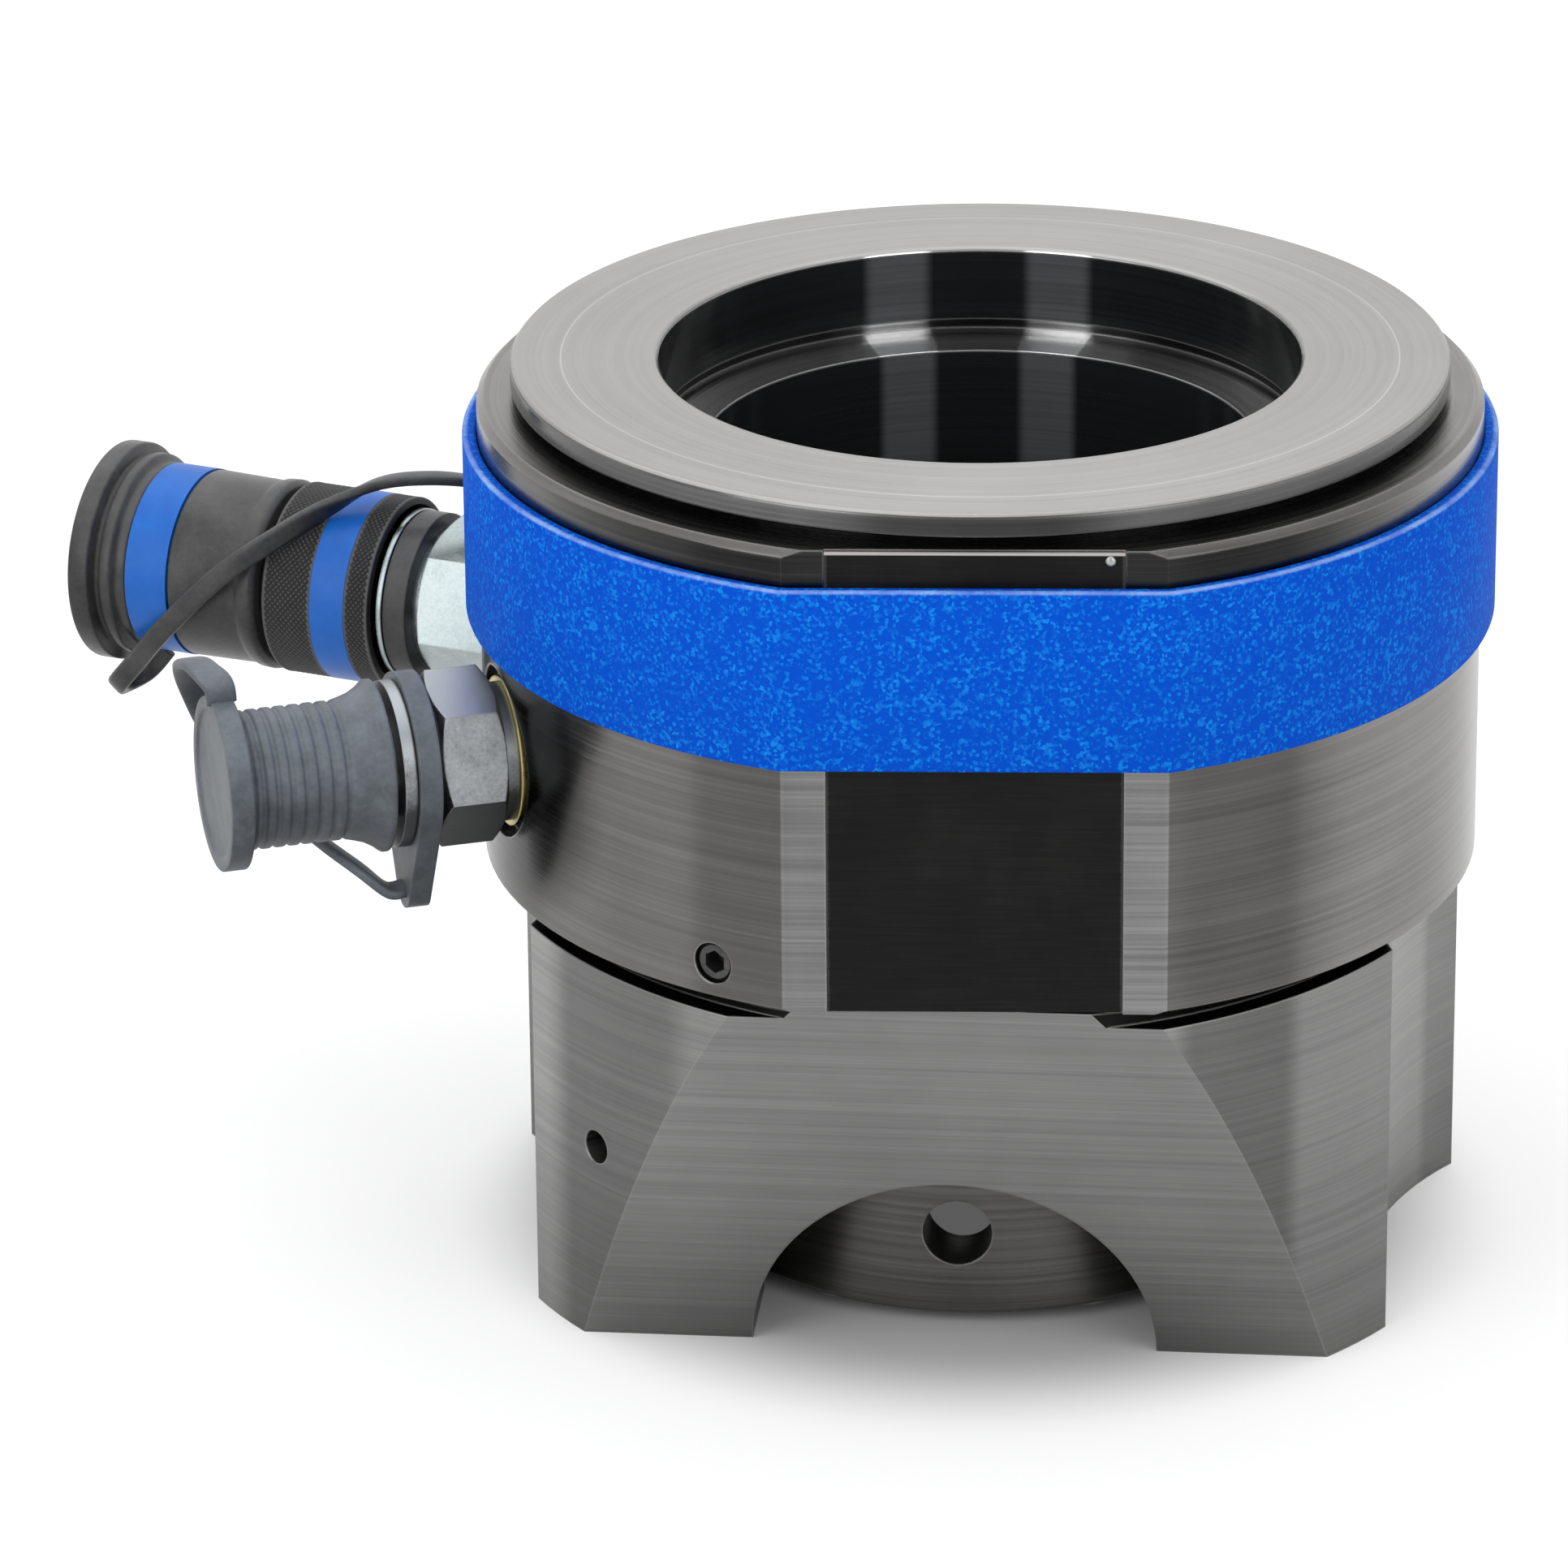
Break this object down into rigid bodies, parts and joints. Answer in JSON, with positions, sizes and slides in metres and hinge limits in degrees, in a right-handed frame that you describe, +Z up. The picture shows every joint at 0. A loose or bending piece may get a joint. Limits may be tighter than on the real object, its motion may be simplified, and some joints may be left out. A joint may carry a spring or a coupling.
{
  "type": "hydraulic bolt tensioner",
  "caption": "Hollow ring cylinder with annular piston on a windowed bridge with nut rotator, quick coupler and nipple with rubber dust caps on straps.",
  "frame": {"origin": "tool axis at the foot of the bridge", "axes": "+Z up along the tool axis, -Y the way the rating plate faces, -X roughly the side with the hose ports"},
  "size_m": [0.2104, 0.1432, 0.1338],
  "materials": {
    "ground_steel": "turned and ground, lightly oiled",
    "plate_black": "bare black plate",
    "grip_blue": "fine grit anti-slip tape",
    "screw_black": "black oxide",
    "seal_polymer": "machined polymer",
    "zinc": "zinc plated",
    "brass": "yellow passivated",
    "black_plastic": "moulded, fine texture",
    "ring_blue": "plain blue ring",
    "black_rubber": "moulded rubber",
    "grey_rubber": "moulded rubber",
    "spring_steel": "drawn wire"
  },
  "bodies": {
    "bridge": {"bridge": "ground_steel"},
    "nut_rotator": {"nut_rotator": "ground_steel"},
    "load_cell": {"cylinder_body": "ground_steel", "rating_plate": "plate_black", "grip_band": "grip_blue", "grub_screw_1": "screw_black", "grub_screw_2": "screw_black", "grub_screw_3": "screw_black", "rod_seal": "seal_polymer", "rod_backup_ring": "seal_polymer", "coupler_body": "zinc", "coupler_bonded_seal": "brass", "coupler_strap_ring": "black_rubber", "sleeve_spring": "spring_steel", "lock_balls": "spring_steel", "sleeve_snap_ring": "spring_steel", "coupler_poppet_spring": "spring_steel", "coupler_plug": "brass", "coupler_strap": "black_rubber", "nipple_body": "zinc", "nipple_bonded_seal": "brass", "nipple_strap_ring": "grey_rubber", "nipple_poppet_spring": "spring_steel", "nipple_plug": "brass", "nipple_strap": "grey_rubber"},
    "piston": {"piston": "ground_steel", "piston_guide_ring": "seal_polymer", "piston_seal": "seal_polymer", "piston_backup_ring": "seal_polymer"},
    "coupler_sleeve": {"coupler_sleeve": "black_plastic", "sleeve_band": "ring_blue"},
    "coupler_poppet": {"coupler_poppet": "zinc"},
    "coupler_cap": {"coupler_cap": "black_rubber", "cap_band": "ring_blue"},
    "nipple_poppet": {"nipple_poppet": "zinc"},
    "nipple_cap": {"nipple_cap": "grey_rubber"}
  },
  "joints": [
    {"name": "load_cell_swivel", "type": "hinge", "parent": "bridge", "child": "load_cell", "pos_m": [0, 0, 0.06], "axis": [0, 0, 1], "continuous": true},
    {"name": "nut_rotator_turn", "type": "hinge", "parent": "bridge", "child": "nut_rotator", "pos_m": [0, 0, 0.04], "axis": [0, 0, 1], "continuous": true},
    {"name": "piston_stroke", "type": "slide", "parent": "load_cell", "child": "piston", "axis": [0, 0, 1], "range_m": [0, 0.015]},
    {"name": "sleeve_pull", "type": "slide", "parent": "load_cell", "child": "coupler_sleeve", "axis": [0.9272, -0.3746, 0], "range_m": [0, 0.003], "stiffness_N_per_m": 1500, "springref_m": -0.004, "deforming": ["sleeve_spring"]},
    {"name": "coupler_poppet_push", "type": "slide", "parent": "load_cell", "child": "coupler_poppet", "axis": [0.9272, -0.3746, 0], "range_m": [0, 0.0025], "stiffness_N_per_m": 1000, "springref_m": -0.003, "deforming": ["coupler_poppet_spring"]},
    {"name": "coupler_cap_pull", "type": "slide", "parent": "load_cell", "child": "coupler_cap", "axis": [-0.9272, 0.3746, 0], "range_m": [0, 0.02], "deforming": ["coupler_strap"]},
    {"name": "nipple_poppet_push", "type": "slide", "parent": "load_cell", "child": "nipple_poppet", "axis": [0.9511, 0.309, 0], "range_m": [0, 0.0015], "stiffness_N_per_m": 1000, "springref_m": -0.003, "deforming": ["nipple_poppet_spring"]},
    {"name": "nipple_cap_pull", "type": "slide", "parent": "load_cell", "child": "nipple_cap", "axis": [-0.9511, -0.309, 0], "range_m": [0, 0.022], "deforming": ["nipple_strap"]}
  ]
}
